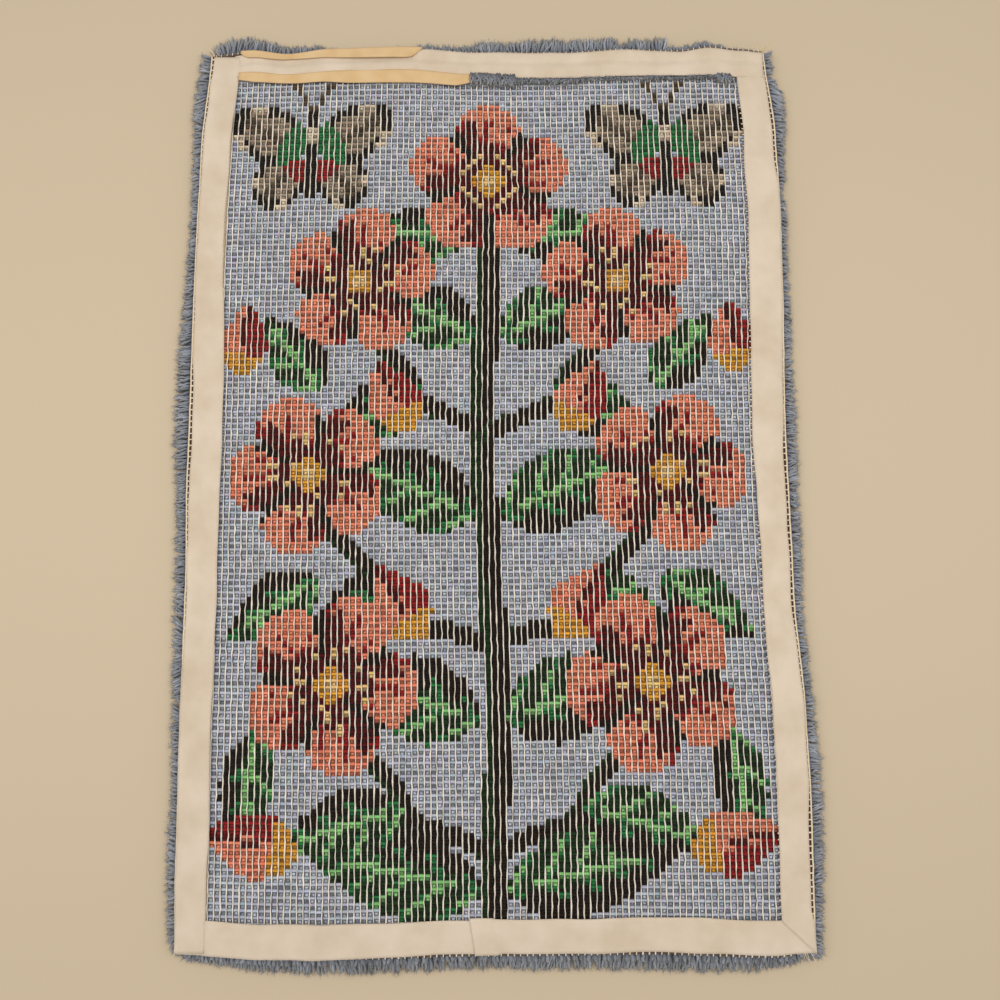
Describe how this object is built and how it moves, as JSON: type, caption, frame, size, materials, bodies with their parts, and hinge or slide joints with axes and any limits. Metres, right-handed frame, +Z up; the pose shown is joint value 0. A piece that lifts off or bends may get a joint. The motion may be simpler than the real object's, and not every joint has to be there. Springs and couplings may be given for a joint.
{
  "type": "latch hook wall hanging",
  "caption": "Latch hook wall hanging lying face down: knotted rug canvas with a turned hem, cotton binding tape on the back and a yarn pile that splays out round the edges",
  "frame": {"origin": "on the surface, under the middle of the whole hanging's box", "axes": "+Z up out of the back, +Y towards the hanging's top edge, +X to the right seen from above"},
  "size_m": [0.7238, 1.0672, 0.0227],
  "materials": {
    "yarn": "fuzzy cut yarn",
    "knotted_canvas": "knotted yarn on cream canvas threads",
    "cotton_tape": "matte twill",
    "tan_strip": "smooth, yellowed"
  },
  "bodies": {
    "root": {"pile": "yarn", "canvas": "knotted_canvas", "binding_left": "cotton_tape", "binding_right": "cotton_tape", "binding_top": "cotton_tape", "binding_bottom_left": "cotton_tape", "binding_bottom_right": "cotton_tape", "strip_upper": "tan_strip", "strip_lower": "tan_strip"}
  },
  "joints": []
}
